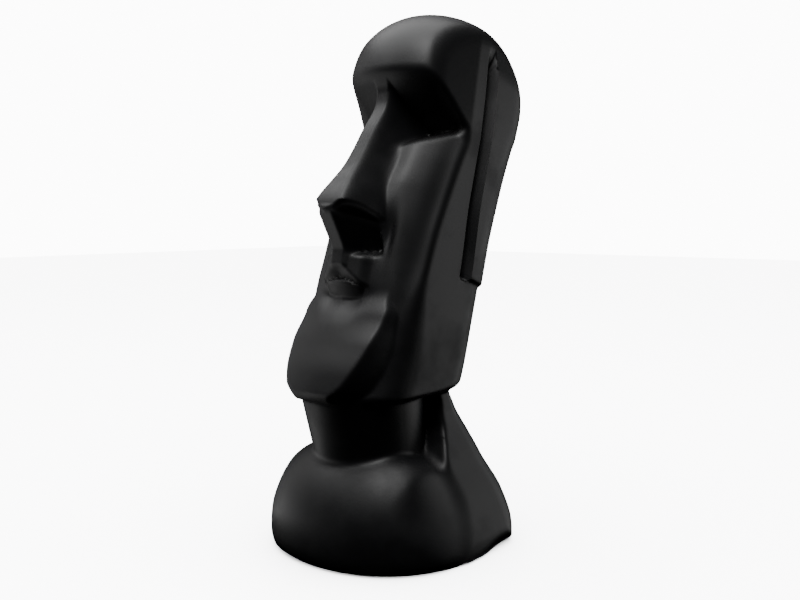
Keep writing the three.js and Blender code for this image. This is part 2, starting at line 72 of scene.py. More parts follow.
@dataclass(frozen=True)
class Profile:
    """A size that changes smoothly with the level up the head, through a few stations."""

    stations: tuple[tuple[float, float], ...]

    def at(self, level: Array) -> Array:
        """Read the size, which holds still past the first and last stations.

        Args:
            level: The levels to read it at.

        Returns:
            The size at each level, by cubic pieces that never overshoot a station.
        """
        levels, values = np.array(self.stations, dtype=float).T
        steps = np.diff(levels)
        slopes = np.diff(values) / steps
        below, above = slopes[:-1], slopes[1:]
        same_way = below * above > 0.0
        middle = np.where(same_way, 2.0 * below * above / np.where(same_way, below + above, 1.0), 0.0)
        tangents = np.concatenate([[0.0], middle, [0.0]])
        place = np.clip(level, levels[0], levels[-1])
        part = np.clip(np.searchsorted(levels, place, side="right") - 1, 0, len(steps) - 1)
        t = (place - levels[part]) / steps[part]
        rise = values[part] + (values[part + 1] - values[part]) * t * t * (3.0 - 2.0 * t)
        start_turn = tangents[part] * steps[part] * t * (1.0 - t) ** 2
        end_turn = tangents[part + 1] * steps[part] * t * t * (t - 1.0)
        return rise + start_turn + end_turn


def soft_max(a: Array, b: Array | float, rounding: Array | float) -> Array:
    """Take the larger of two values, with a rounded change from one to the other.

    Args:
        a: The first values.
        b: The second values.
        rounding: How far apart they are where the rounding ends.

    Returns:
        The joined values.
    """
    near = np.maximum(rounding - np.abs(a - b), 0.0)
    return np.maximum(a, b) + near * near / (4.0 * rounding)


def soft_min(a: Array, b: Array | float, rounding: Array | float) -> Array:
    """Take the smaller of two values, rounded as soft_max is."""
    return -soft_max(-a, -b, rounding)


@dataclass(frozen=True)
class Swell:
    """A soft round rise on the face, or a hollow where its height is below zero."""

    height: float
    side: float
    half: float
    level: float
    half_level: float
    taper: float = 0.0

    def at(self, side: Array, level: Array) -> Array:
        """Read the rise.

        Args:
            side: Distance from the middle plane.
            level: Level up the head.

        Returns:
            The height to add at each place.
        """
        across = (side - self.side + self.taper * (level - self.level)) / self.half
        up = (level - self.level) / self.half_level
        return self.height * np.exp(-across**2 - up**2)


@dataclass
class Cheeks:
    """Broad cheek planes, from the jaw up to a crisp rim under the eye sockets."""

    middle: Profile = Profile((
        (-10, 32), (10, 32.5), (40, 32), (60, 32), (80, 33), (96, 31.5), (108, 28.3), (118, 25), (135, 19),
    ))
    edge: Profile = Profile(((-10, 18), (44, 17.5), (62, 16), (75, 14.5), (93, 11), (112, 6.5), (130, 2)))
    edge_side: float = 33.0
    flat: float = 11.0
    turn: float = 1.3
    rim_level: float = 117.0
    rim_side: float = 11.0
    rim_lift: float = 0.62
    rim_slope: float = 1.7
    rim_rounding: float = 3.0
    hollow_depth: float = 8.0
    hollow_inner: tuple[float, float] = (3.8, 6.8)
    hollow_outer: float = 12.0
    hollow_outer_ease: tuple[float, float] = (2.0, -2.5)
    hollow_spread: float = 0.22
    hollow_bottom: tuple[float, float] = (60.0, 66.5)
    hollow_top: float = 76.0
    swells: tuple[Swell, ...] = (
        Swell(height=0.9, side=22.5, half=4.0, level=56.0, half_level=22.0, taper=0.12),
        Swell(height=-1.0, side=29.5, half=3.0, level=92.0, half_level=30.0),
        Swell(height=-0.8, side=27.5, half=4.0, level=52.0, half_level=20.0),
        Swell(height=-2.0, side=10.0, half=7.0, level=41.0, half_level=5.5),
        Swell(height=-2.5, side=17.0, half=2.6, level=73.0, half_level=10.0),
        Swell(height=-2.0, side=12.0, half=4.0, level=108.0, half_level=16.0),
    )

    def height(self, side: Array, level: Array) -> Array:
        """Give the cheeks' height in front of the head's axis.

        Args:
            side: Distance from the middle plane.
            level: Level up the head.

        Returns:
            The height at each place.
        """
        middle = self.middle.at(level)
        turn = (np.maximum(side - self.flat, 0.0) / (self.edge_side - self.flat)) ** self.turn
        plain = middle - (middle - self.edge.at(level)) * turn
        rim = self.rim_level + self.rim_lift * (side - self.rim_side)
        floor = self.rim_slope * soft_max(level - rim, 0.0, self.rim_rounding)
        swelling = sum(swell.at(side, level) for swell in self.swells)
        return plain - floor - self.hollow(side, level) + swelling

    def hollow(self, side: Array, level: Array) -> Array:
        """Give how deep the hollow beside the philtrum is, under each nostril."""
        outer = self.hollow_outer + self.hollow_spread * (self.hollow_top - level)
        start, end = self.hollow_outer_ease
        across = ease(*self.hollow_inner, side) * ease(outer + start, outer + end, side)
        return self.hollow_depth * across * ease(*self.hollow_bottom, level)


@dataclass
class Dome:
    """Smooth dome of the skull."""

    level: float = 151.0
    depth: float = 8.5
    half_width: float = 43.5
    half_depth: float = 46.8
    rise: float = 40.8
    fullness: float = 2.1
    spread: float = 20.0
    spread_levels: tuple[float, float] = (149.0, 85.0)
    least_across: float = 0.001

    def front(self, side: Array) -> Array:
        """Give the forehead's height in front of the head's axis, at the brow."""
        across = np.maximum(1.0 - (side / self.half_width) ** 2, self.least_across)
        return self.half_depth * np.sqrt(across) - self.depth

    def form(self, x: Array, depth: Array, level: Array) -> Array:
        """Measure how far places lie outside the dome, which runs down as a wide column."""
        up = np.maximum(level - self.level, 0.0) / self.rise
        around = np.hypot(x / self.half_width, (depth - self.depth) / self.half_depth)
        reach = (around**self.fullness + up**self.fullness) ** (1.0 / self.fullness)
        return (reach - 1.0) * self.half_width - self.spread * ease(*self.spread_levels, level)


@dataclass
class Brow:
    """Shelf that slopes back into the sockets. Above its edge it stands covered by the dome."""

    level: float = 147.6
    lift: float = 2.5
    lift_side: float = 28.0
    slope: float = 1.45
    outer_slope: float = 0.95
    outer_sides: tuple[float, float] = (23.0, 32.0)
    rounding: float = 2.0
    cover: float = 3.0

    def height(self, dome: Dome, side: Array, level: Array) -> Array:
        """Give the brow's height in front of the head's axis.

        Args:
            dome: The skull that the brow ends.
            side: Distance from the middle plane.
            level: Level up the head.

        Returns:
            The height at each place.
        """
        edge = self.level + self.lift * (side / self.lift_side) ** 2
        slope = self.slope + (self.outer_slope - self.slope) * ease(*self.outer_sides, side)
        fall = slope * soft_max(edge + self.cover / slope - level, 0.0, self.rounding)
        return dome.front(side) + self.cover - fall


@dataclass
class Nose:
    """Long nose: a flat ridge, walls that swell into the wings, and an arched base."""

    ridge: Profile = Profile((
        (75, 54.5), (80, 54), (92, 48.7), (101, 44), (109, 40.8), (119, 37.4), (136, 31.5), (146, 32),
    ))
    ridge_rounding: float = 2.0
    ridge_half: Profile = Profile(((76, 6.5), (88, 5), (100, 4.2), (120, 4.2), (136, 4.6), (146, 5)))
    foot_half: Profile = Profile(((74, 15.5), (84, 14.8), (96, 12.5), (110, 11), (136, 9.5), (146, 9)))
    wall_bulge: Profile = Profile(((76, 2.4), (84, 2.1), (98, 1.2), (110, 1)))
    foot_height: Profile = Profile(((100, 26), (118, 21), (130, 12), (140, 6)))
    base_rim: Profile = Profile((
        (0, 75), (4, 77.8), (8, 81.2), (11, 82), (13.5, 80.5), (15, 78.5), (18, 73),
    ))
    undercut: float = 5.0
    undercut_rounding: float = 1.2
    step: float = 2.2
    step_below: tuple[float, float] = (-0.3, 1.1)
    step_sides: tuple[float, float] = (2.0, 6.0)
    drop: float = 3.0
    drop_inner: tuple[float, float] = (3.0, 6.0)
    drop_outer: tuple[float, float] = (16.0, 13.0)

    def height(self, side: Array, level: Array) -> Array:
        """Give the nose's height in front of the head's axis.

        Args:
            side: Distance from the middle plane.
            level: Level up the head.

        Returns:
            The height at each place.
        """
        ridge = self.ridge.at(level)
        half = self.ridge_half.at(level)
        out = soft_max(side - half, 0.0, self.ridge_rounding) / (self.foot_half.at(level) - half)
        wall = ridge - (ridge - self.foot_height.at(level)) * out ** self.wall_bulge.at(level)
        below = self.base_rim.at(side) - level
        step = self.step * ease(*self.step_below, below) * ease(*self.step_sides, side)
        drop = self.drop * ease(*self.drop_inner, side) * ease(*self.drop_outer, side)
        return wall - step - self.undercut * soft_max(below - drop, 0.0, self.undercut_rounding)


@dataclass
class Mouth:
    """Ridge under the nose, a round muzzle, and small lips that meet in a fine line."""

    philtrum_ridge: Profile = Profile(((47, 37.5), (55, 40.2), (61, 41), (66, 45), (71, 50), (76, 54)))
    philtrum_half: float = 4.4
    philtrum_slope: float = 2.4
    philtrum_rounding: float = 1.5
    philtrum_top: float = 78.0
    philtrum_top_slope: float = 3.0
    philtrum_foot: float = 54.5
    philtrum_foot_slope: float = 1.5
    muzzle_height: float = 39.6
    muzzle_curve: float = 0.036
    muzzle_half: float = 12.5
    muzzle_side_slope: float = 2.0
    muzzle_side_rounding: float = 3.0
    muzzle_top: float = 61.0
    muzzle_top_slope: float = 3.0
    muzzle_top_rounding: float = 2.5
    lip_peak: float = 56.5
    lip_peak_half: float = 1.5
    lip_slant: float = 0.72
    lip_under: float = 0.85
    lip_rounding: float = 1.2
    line_level: float = 48.3
    line_droop: float = 0.008
    line_half_width: float = 11.0
    line_rounding: float = 1.0
    closed_slope: float = 1.6
    closed_above: float = 0.3
    lower_height: float = 37.6
    lower_slope: float = 0.95
    lower_gap: float = 0.9
    lower_rounding: float = 0.8
    lower_end_slope: float = 2.5
    lower_end_rounding: float = 1.5
    lower_top_slope: float = 2.0
    lower_top_width: float = 0.5

    def philtrum(self, side: Array, level: Array) -> Array:
        """Give the height of the ridge that joins the nose to the upper lip."""
        drop = self.philtrum_slope * soft_max(side - self.philtrum_half, 0.0, self.philtrum_rounding)
        below = self.philtrum_foot_slope * np.maximum(self.philtrum_foot - level, 0.0)
        above = self.philtrum_top_slope * np.maximum(level - self.philtrum_top, 0.0)
        return self.philtrum_ridge.at(level) - drop - below - above

    def muzzle(self, side: Array, level: Array) -> Array:
        """Give the height of the upper lip and the round form above it.

        Args:
            side: Distance from the middle plane.
            level: Level up the head.

        Returns:
            The height at each place.
        """
        round_form = self.muzzle_height - self.muzzle_curve * side**2
        beside = self.muzzle_side_slope * soft_max(side - self.muzzle_half, 0.0, self.muzzle_side_rounding)
        above = self.muzzle_top_slope * soft_max(level - self.muzzle_top, 0.0, self.muzzle_top_rounding)
        lip = self.lip_peak - self.lip_slant * np.hypot(side, self.lip_peak_half)
        under = self.lip_under * soft_max(lip - level, 0.0, self.lip_rounding)
        closing = self.line(side) + self.closed_above - level
        shut = self.closed_slope * soft_max(closing, 0.0, self.line_rounding)
        return round_form - beside - above - under - shut

    def line(self, side: Array) -> Array:
        """Give the level of the line where the lips meet."""
        return self.line_level - self.line_droop * side**2

    def lower_lip(self, side: Array, level: Array) -> Array:
        """Give the height of the lower lip's thin edge.

        Args:
            side: Distance from the middle plane.
            level: Level up the head.

        Returns:
            The height at each place.
        """
        below = self.line(side) - self.lower_gap - level
        ends = self.lower_end_slope * soft_max(side - self.line_half_width, 0.0, self.lower_end_rounding)
        front = self.lower_slope * soft_max(below, 0.0, self.lower_rounding)
        top = self.lower_top_slope * soft_max(-below - self.lower_top_width, 0.0, self.line_rounding)
        return self.lower_height - self.muzzle_curve * side**2 - ends - front - top


@dataclass
class Chin:
    """Broad slab of a chin that narrows downwards, with crisp side edges."""

    front: Profile = Profile(((-12, 40), (-4, 42.5), (4, 42), (19, 38.7), (33, 35.6), (48, 33)))
    half: Profile = Profile(((-7, 11.5), (-1, 17), (9, 21.2), (18, 23.4), (28, 24.8), (36, 25.2), (43, 23)))
    curve: Profile = Profile(((-4, 0.005), (4, 0.006), (19, 0.0064), (33, 0.0105)))
    edge_slope: float = 3.5
    edge_rounding: float = 1.6
    top_level: float = 41.0
    top_sag: float = 8.0
    top_half: float = 13.0
    top_slope: float = 0.5
    top_rounding: float = 7.0

    def height(self, side: Array, level: Array) -> Array:
        """Give the chin's height in front of the head's axis.

        Args:
            side: Distance from the middle plane.
            level: Level up the head.

        Returns:
            The height at each place.
        """
        edge = self.edge_slope * soft_max(side - self.half.at(level), 0.0, self.edge_rounding)
        top_edge = self.top_level - self.top_sag * np.exp(-((side / self.top_half) ** 4))
        top = self.top_slope * soft_max(level - top_edge, 0.0, self.top_rounding)
        return self.front.at(level) - self.curve.at(level) * side**2 - edge - top


@dataclass
class Ears:
    """Long ear slabs behind a slot that runs down each side of the head."""

    half_width: float = 35.0
    top: tuple[float, float] = (178.0, 162.0)
    bottom: tuple[float, float] = (61.2, 62.8)
    slot_cut: float = 3.4
    slot_width: float = 6.0
    slot_slope: float = 3.6
    slot_edge: float = 0.6
    slot_back: Profile = Profile(((62, 14.8), (100, 12.4), (150, 12.2), (176, 11)))

    def width(self, plain: float, depth: Array, level: Array) -> Array:
        """Give what the ear and its slot add to the head's half-width.

        Args:
            plain: Half-width of the head in front of the slot.
            depth: Depth from the head's axis towards its back.
            level: Level up the head.

        Returns:
            The width to add at each place, below zero in the slot.
        """
        back = self.slot_back.at(level)
        front = back - self.slot_width
        past_slot = ease(back - self.slot_edge, back + self.slot_edge, depth)
        ear = (self.half_width - plain) * past_slot
        slot = self.slot_cut * ease(front, front + self.slot_slope, depth) * (1.0 - past_slot)
        return (ear - slot) * ease(*self.bottom, level) * ease(*self.top, level)


@dataclass
class Head:
    """The leaning head: a face on its front, flat sides, a round back and a flat jaw."""

    lean: float = math.radians(16.5)
    lean_y: float = -14.0
    lean_z: float = 72.0
    jaw_z: float = 74.5
    jaw_rounding: float = 3.0
    jaw_back_rounding: float = 5.0
    jaw_back_depths: tuple[float, float] = (5.0, 30.0)
    jaw_front_rounding: float = 6.0
    jaw_front_depths: tuple[float, float] = (-16.0, -44.0)
    side_half: float = 33.0
    jaw_half: float = 32.0
    jaw_levels: tuple[float, float] = (30.0, 0.0)
    temple_level: float = 130.0
    temple_taper: float = 0.07
    toe_in: float = 0.2
    toe_depth: float = -2.0
    toe_levels: tuple[float, float] = (122.0, 140.0)
    side_rounding: Profile = Profile(((10, 9), (35, 6), (60, 2.2), (150, 2)))
    back: Profile = Profile(((-10, 36), (40, 36), (79, 36), (105, 37.8), (131, 41.5), (155, 51)))
    back_rounding: float = 18.0
    face_scale: float = 0.75
    dome_join: float = 5.0
    brow_join: float = 7.0
    nose_join: float = 5.0
    face_join: float = 2.0
    lower_lip_join: float = 0.8
    dome: Dome = field(default_factory=Dome)
    brow: Brow = field(default_factory=Brow)
    cheeks: Cheeks = field(default_factory=Cheeks)
    nose: Nose = field(default_factory=Nose)
    mouth: Mouth = field(default_factory=Mouth)
    chin: Chin = field(default_factory=Chin)
    ears: Ears = field(default_factory=Ears)

    def axis_point(self, level: float) -> tuple[float, float]:
        """Give the Y and Z of the head's axis at a level."""
        return self.lean_y + level * math.sin(self.lean), self.lean_z + level * math.cos(self.lean)

    def face(self, side: Array, level: Array) -> Array:
        """Give the face's height in front of the head's axis.

        Args:
            side: Distance from the middle plane.
            level: Level up the head.

        Returns:
            The height at each place.
        """
        brow = self.brow.height(self.dome, side, level)
        height = soft_max(self.cheeks.height(side, level), brow, self.brow_join)
        height = soft_max(height, self.nose.height(side, level), self.nose_join)
        height = soft_max(height, self.mouth.philtrum(side, level), self.face_join)
        height = soft_max(height, self.chin.height(side, level), self.face_join)
        height = soft_max(height, self.mouth.muzzle(side, level), self.face_join)
        return soft_max(height, self.mouth.lower_lip(side, level), self.lower_lip_join)

    def width(self, depth: Array, level: Array) -> Array:
        """Give the head's half-width, with the temples and ears.

        Args:
            depth: Depth from the head's axis towards its back.
            level: Level up the head.

        Returns:
            The half-width at each place.
        """
        jaw = (self.side_half - self.jaw_half) * ease(*self.jaw_levels, level)
        toe = np.maximum(self.toe_depth - depth, 0.0) * ease(*self.toe_levels, level)
        ears = self.ears.width(self.side_half, depth, level)
        return self.side_half - jaw - self.temple(level) - self.toe_in * toe + ears

    def temple(self, level: Array) -> Array:
        """Give how much narrower each side of the head is at the temples."""
        return self.temple_taper * np.maximum(level - self.temple_level, 0.0)

    def level_of(self, y: Array, z: Array) -> Array:
        """Give the level up the head of places in the statue's frame."""
        return (y - self.lean_y) * math.sin(self.lean) + (z - self.lean_z) * math.cos(self.lean)

    def jaw_edge(self, depth: Array) -> Array:
        """Give the rounding of the jaw's lower edge, which is larger in front and at the back."""
        back = (self.jaw_back_rounding - self.jaw_rounding) * ease(*self.jaw_back_depths, depth)
        front = (self.jaw_front_rounding - self.jaw_rounding) * ease(*self.jaw_front_depths, depth)
        return self.jaw_rounding + back + front

    def form(self, x: Array, y: Array, z: Array) -> Array:
        """Measure how far places lie outside the head.

        Args:
            x: Places along X.
            y: Places along Y.
            z: Places along Z.

        Returns:
            About the distance to the surface, below zero inside it.
        """
        depth = (y - self.lean_y) * math.cos(self.lean) - (z - self.lean_z) * math.sin(self.lean)
        level = self.level_of(y, z)
        front = self.face_scale * (-depth - self.face(np.abs(x), level))
        form = soft_max(front, np.abs(x) - self.width(depth, level), self.side_rounding.at(level))
        form = soft_max(form, depth - self.back.at(level), self.back_rounding)
        form = soft_max(form, self.dome.form(x, depth, level), self.dome_join)
        return soft_max(form, self.jaw_z - z, self.jaw_edge(depth))


@dataclass
class Neck:
    """Short column that leans forward from the shoulders to the jaw. Pairs are foot and top."""

    z: tuple[float, float] = (46.0, 76.0)
    middle_y: tuple[float, float] = (-14.0, -19.5)
    half_width: tuple[float, float] = (25.5, 27.5)
    half_depth: tuple[float, float] = (28.0, 31.0)
    ends_z: tuple[float, float] = (10.0, 77.0)

    def form(self, x: Array, y: Array, z: Array) -> Array:
        """Measure how far places lie outside the neck."""
        up = (z - self.z[0]) / (self.z[1] - self.z[0])
        middle, half_width, half_depth = (
            foot + (top - foot) * up for foot, top in (self.middle_y, self.half_width, self.half_depth)
        )
        around = (np.hypot(x / half_width, (y - middle) / half_depth) - 1.0) * half_width
        return np.maximum.reduce([around, z - self.ends_z[1], self.ends_z[0] - z])


@dataclass
class Buttress:
    """Back of the neck and base: a slab that spreads down to the foot. The profiles run up Z."""

    half_width: Profile = Profile(((-6, 54.5), (6, 54), (24, 47.6), (42, 39), (66, 29.5), (90, 28)))
    corner_y: Profile = Profile((
        (-6, 31), (6, 32), (14, 33), (24, 32.5), (42, 27), (54, 23.5), (66, 18), (90, 6),
    ))
    bulge: Profile = Profile(((0, 23), (14, 20), (30, 14), (66, 8), (90, 6)))
    front_y: Profile = Profile(((24, -10), (44, -4), (52, 0), (60, 2.5), (84, 2.5)))
    top_z: float = 84.0
    edge_rounding: Profile = Profile(((2, 5), (26, 12), (46, 2)))
    corner_rounding: float = 10.0
    corner_from: tuple[float, float] = (0.0, 20.0)

    def flank(self, x: Array, z: Array) -> Array:
        """Measure how far places lie outside the flat sides."""
        return np.abs(x) - self.half_width.at(z)

    def core(self, x: Array, y: Array, z: Array) -> Array:
        """Measure how far places lie outside the slab's back, front and ends."""
        back = self.corner_y.at(z) + self.bulge.at(z) * (1.0 - (x / self.half_width.at(z)) ** 2)
        faced = np.maximum(y - back, self.front_y.at(z) - y)
        return np.maximum.reduce([faced, z - self.top_z, -z])

    def rounding(self, y: Array, z: Array) -> Array:
        """Give the rounding of the sides' edges, in front and at the back corners."""
        front = self.edge_rounding.at(z)
        return front + (self.corner_rounding - front) * ease(*self.corner_from, y)


@dataclass
class Base:
    """Round shoulders that spread to a flat foot. Pairs are front and back."""

    half_width: float = 55.0
    half_depth: tuple[float, float] = (57.0, 54.0)
    squareness: float = 2.2
    fullness: float = 2.3
    belly_z: float = 8.0
    foot_inset: float = 1.8
    foot_rounding: float = 1.2
    rise: tuple[float, float] = (49.0, 38.0)
    turn_y: tuple[float, float] = (-32.0, 4.0)

    def form(self, x: Array, y: Array, z: Array) -> Array:
        """Measure how far places lie outside the base."""
        rise = self.rise[0] + (self.rise[1] - self.rise[0]) * ease(*self.turn_y, y)
        up = np.maximum(z - self.belly_z, 0.0) / rise
        tuck = self.foot_inset * (np.maximum(self.belly_z - z, 0.0) / self.belly_z) ** 2
        half_depth = np.where(y < 0.0, *self.half_depth)
        plan = (np.abs(x) / self.half_width) ** self.squareness + (np.abs(y) / half_depth) ** self.squareness
        reach = plan ** (1.0 / self.squareness)
        round_form = (reach**self.fullness + up**self.fullness) ** (1.0 / self.fullness)
        return soft_max((round_form - 1.0) * self.half_width + tuck, -z, self.foot_rounding)


@dataclass
class Figure:
    """The whole figure as one form, and the rays that find its surface."""

    head: Head = field(default_factory=Head)
    neck: Neck = field(default_factory=Neck)
    buttress: Buttress = field(default_factory=Buttress)
    base: Base = field(default_factory=Base)
    slab_join: float = 6.0
    neck_join: float = 2.2
    jaw_join: float = 2.0
    floor_rounding: float = 0.8
    columns: int = 320
    rows: int = 300
    face_crowd: tuple[float, float] = (1.5, 38.0)
    slot_crowd: tuple[float, float] = (2.2, 9.0)
    slot_angle: float = 108.0
    turn_angle: float = 110.0
    turn_reach: float = 22.0
    slot_depth: float = 12.88
    slot_reach: float = 31.8
    steepest_pitch: float = 55.0
    ray_start: float = 10.0
    ray_step: float = 0.6
    ray_end: float = 110.0
    halvings: int = 16
    relax_rounds: int = 8
    slope_step: float = 0.02
    least_slope: float = 0.2
    longest_pull: float = 1.0

    def form(self, places: Array) -> Array:
        """Measure how far places lie outside the figure.

        Args:
            places: Points, with X, Y and Z along the last axis.

        Returns:
            About the distance to the surface, below zero inside it.
        """
        x, y, z = np.moveaxis(places, -1, 0)
        body = soft_min(self.buttress.core(x, y, z), self.base.form(x, y, z), self.slab_join)
        body = soft_max(body, self.buttress.flank(x, z), self.buttress.rounding(y, z))
        body = soft_min(body, self.neck.form(x, y, z), self.neck_join)
        body = soft_min(body, self.head.form(x, y, z), self.jaw_join)
        return soft_max(body, -z, self.floor_rounding)

    def key_rows(self) -> Array:
        """List the key rows of rays, from the top of the skull to the underside.

        Returns:
            One line a key row: its place from 0 to 61, the Y and Z where its rays start, how far
            they point up in degrees, and how much of the head's lean they share.
        """
        at = self.head.axis_point
        skull = at(self.head.dome.level)
        return np.array([
            (0, *skull, 90, 1), (9, *skull, 4, 1), (13.5, *at(142), 0, 1), (18.5, *at(124), 0, 1),
            (23, *at(94), 0, 1), (30, *at(70), 0, 1), (32, *at(60), 0, 1), (38, *at(40), 0, 1),
            (42, *at(16), -4, 0.9), (46, -4, 84, -18, 0.42), (48.5, 5, 80, -24, 0.2),
            (51, 13, 66, -12, 0), (53.5, 14, 44, 6, 0), (58, 0, 20, -6, 0), (59, 0, 20, -14, 0),
            (60, 0, 20, -18.5, 0), (61, 0, 20, -90, 0),
        ])

    def column_angles(self) -> Array:
        """Place the columns, closer together over the face and at the ear slots.

        Returns:
            Their angles from the front, in radians, from the back round by the figure's right.
        """
        angle = np.arange(-180.0, 180.0)
        middle = angle + 0.5
        face_share, face_reach = self.face_crowd
        slot_share, slot_reach = self.slot_crowd
        face = face_share * np.exp(-(middle / face_reach) ** 2)
        slots = slot_share * np.exp(-((np.abs(middle) - self.slot_angle) / slot_reach) ** 2)
        sums = np.concatenate([[0.0], np.cumsum(1.0 + face + slots)])
        targets = sums[-1] * np.arange(self.columns) / self.columns
        return np.radians(np.interp(targets, sums, np.arange(-180.0, 181.0)))

    def slot_turn(self, angle: Array, level: Array) -> Array:
        """Turn the columns near the ear slots so that they run along them.

        Args:
            angle: The columns' angles from the front, in radians.
            level: The rows' levels up the head.

        Returns:
            The turned angles, by row and column.
        """
        back = self.head.ears.slot_back
        floor = self.head.side_half - self.head.ears.slot_cut
        slot = np.arctan2(back.at(level), floor - self.head.temple(level))
        shift = slot - math.atan2(self.slot_depth, floor)
        away = (np.abs(angle) - math.radians(self.turn_angle)) / math.radians(self.turn_reach)
        near = np.exp(-away**2)
        return angle + np.sign(angle) * near * shift

    def rays(self) -> tuple[Array, Array]:
        """Start a ray for each vertex of the lattice.

        Returns:
            Where the rays start and which way they point, by row and column.
        """
        keys = self.key_rows()
        place = np.linspace(0.0, keys[-1, 0], self.rows + 1)[1:-1]
        y, z, pitch, share = (np.interp(place, keys[:, 0], key)[:, None] for key in keys.T[1:])
        rise = self.slot_reach * np.tan(np.radians(np.clip(pitch, 0.0, self.steepest_pitch)))
        level = self.head.level_of(y, z) + rise
        angle = self.slot_turn(self.column_angles()[None, :], level)
        flat = np.cos(np.radians(pitch))
        across = flat * np.sin(angle)
        back = -flat * np.cos(angle)
        up = np.broadcast_to(np.sin(np.radians(pitch)), across.shape)
        lean = self.head.lean * share
        along = back * np.cos(lean) + up * np.sin(lean)
        upward = up * np.cos(lean) - back * np.sin(lean)
        starts = (np.zeros_like(across), y + 0.0 * across, z + 0.0 * across)
        return np.stack(starts, axis=-1), np.stack((across, along, upward), axis=-1)

    def surface(self) -> Array:
        """Find where each ray leaves the figure, then even the lattice out over the surface.

        Returns:
            The surface's points by row and column, without the poles.
        """
        start, pointing = self.rays()
        inner = np.full(start.shape[:2], self.ray_start)
        going = np.ones_like(inner, dtype=bool)
        for reach in np.arange(self.ray_start, self.ray_end, self.ray_step):
            ahead = self.form(start + pointing * (reach + self.ray_step)) < 0.0
            going &= ahead
            inner[going] = reach + self.ray_step
            if not going.any():
                break
        outer = inner + self.ray_step
        for _ in range(self.halvings):
            middle = (inner + outer) / 2.0
            inside = self.form(start + pointing * middle[..., None]) < 0.0
            inner = np.where(inside, middle, inner)
            outer = np.where(inside, outer, middle)
        points = start + pointing * inner[..., None]
        for _ in range(self.relax_rounds):
            points = self.relaxed(points)
        return points

    def relaxed(self, points: Array) -> Array:
        """Draw each point towards the middle of its neighbours and put it back on the surface.

        Args:
            points: The surface's points by row and column.

        Returns:
            The moved points. The rows next to the poles stay.
        """
        around = np.roll(points, 1, axis=1) + np.roll(points, -1, axis=1)
        moved = points.copy()
        moved[1:-1] = 0.5 * points[1:-1] + 0.125 * (around[1:-1] + points[:-2] + points[2:])
        for _ in range(2):
            value = self.form(moved)
            steps = np.eye(3) * self.slope_step
            rises = [self.form(moved + step) - value for step in steps]
            slope = np.stack(rises, axis=-1) / self.slope_step
            pull = value / np.maximum((slope**2).sum(axis=-1), self.least_slope)
            moved = moved - slope * np.clip(pull, -self.longest_pull, self.longest_pull)[..., None]
        moved[[0, -1]] = points[[0, -1]]
        return moved


def linear(colour: str) -> tuple[float, float, float, float]:
    """Turn an sRGB hex colour to linear light.

    Args:
        colour: Six hex digits.

    Returns:
        Red, green, blue and an alpha of 1.
    """
    parts = [int(colour[place:place + 2], 16) / 255.0 for place in (0, 2, 4)]
    red, green, blue = (c / 12.92 if c <= 0.04045 else ((c + 0.055) / 1.055) ** 2.4 for c in parts)
    return red, green, blue, 1.0


def add_node(
    tree: bpy.types.NodeTree, kind: str, links: dict | None = None, **settings: object
) -> bpy.types.Node:
    """Add one shader node with its settings and links.

    Args:
        tree: The material's or world's node tree.
        kind: The node's type name.
        links: For an input's name or number, the output socket that feeds it.
        **settings: Node properties, or for names that start with in_, input values by number.

    Returns:
        The new node.
    """
    node = tree.nodes.new(kind)
    for name, value in settings.items():
        if name.startswith("in_"):
            node.inputs[int(name[3:])].default_value = value
        else:
            setattr(node, name, value)
    for place, output in (links or {}).items():
        tree.links.new(output, node.inputs[place])
    return node


@dataclass(frozen=True)
class CastResin:
    """Black cast resin, satin-matte as it comes from a rubber mould.

    The eye sees an even black that turns soft grey where it faces the light, a very fine grain
    from the mould, and faint dusty rubs where it has been handled.
    """

    black: str = "101012"
    dust: str = "151517"
    roughness: float = 0.46
    rubbed_roughness: float = 0.62
    ior: float = 1.5
    grain_mm: float = 0.7
    grain_height_mm: float = 0.1
    grain_strength: float = 0.25
    rub_mm: float = 38.0
    rub_from: float = 0.5
    rub_to: float = 0.75

    def material(self) -> bpy.types.Material:
        """Make the material.

        Returns:
            A new material with its nodes.
        """
        material = bpy.data.materials.new("black_cast_resin")
        material.use_nodes = True
        tree = material.node_tree
        shader = tree.nodes["Principled BSDF"]
        shader.inputs["IOR"].default_value = self.ior
        place = add_node(tree, "ShaderNodeTexCoord").outputs["Object"]
        rub = add_node(
            tree, "ShaderNodeTexNoise", {0: place}, in_2=1.0 / (self.rub_mm * MM), in_3=4.0, in_4=0.6
        )
        rubbed = add_node(
            tree, "ShaderNodeMapRange", {0: rub.outputs["Fac"]}, in_1=self.rub_from, in_2=self.rub_to
        )
        colour = add_node(
            tree, "ShaderNodeMix", {0: rubbed.outputs[0]}, data_type="RGBA",
            in_6=linear(self.black), in_7=linear(self.dust),
        )
        tree.links.new(colour.outputs[2], shader.inputs["Base Color"])
        rough = add_node(
            tree, "ShaderNodeMapRange", {0: rubbed.outputs[0]},
            in_3=self.roughness, in_4=self.rubbed_roughness,
        )
        tree.links.new(rough.outputs[0], shader.inputs["Roughness"])
        grain = add_node(
            tree, "ShaderNodeTexNoise", {0: place}, in_2=1.0 / (self.grain_mm * MM), in_3=3.0, in_4=0.6
        )
        bump = add_node(
            tree, "ShaderNodeBump", {"Height": grain.outputs["Fac"]},
            in_0=self.grain_strength, in_1=self.grain_height_mm * MM,
        )
        tree.links.new(bump.outputs[0], shader.inputs["Normal"])
        return material


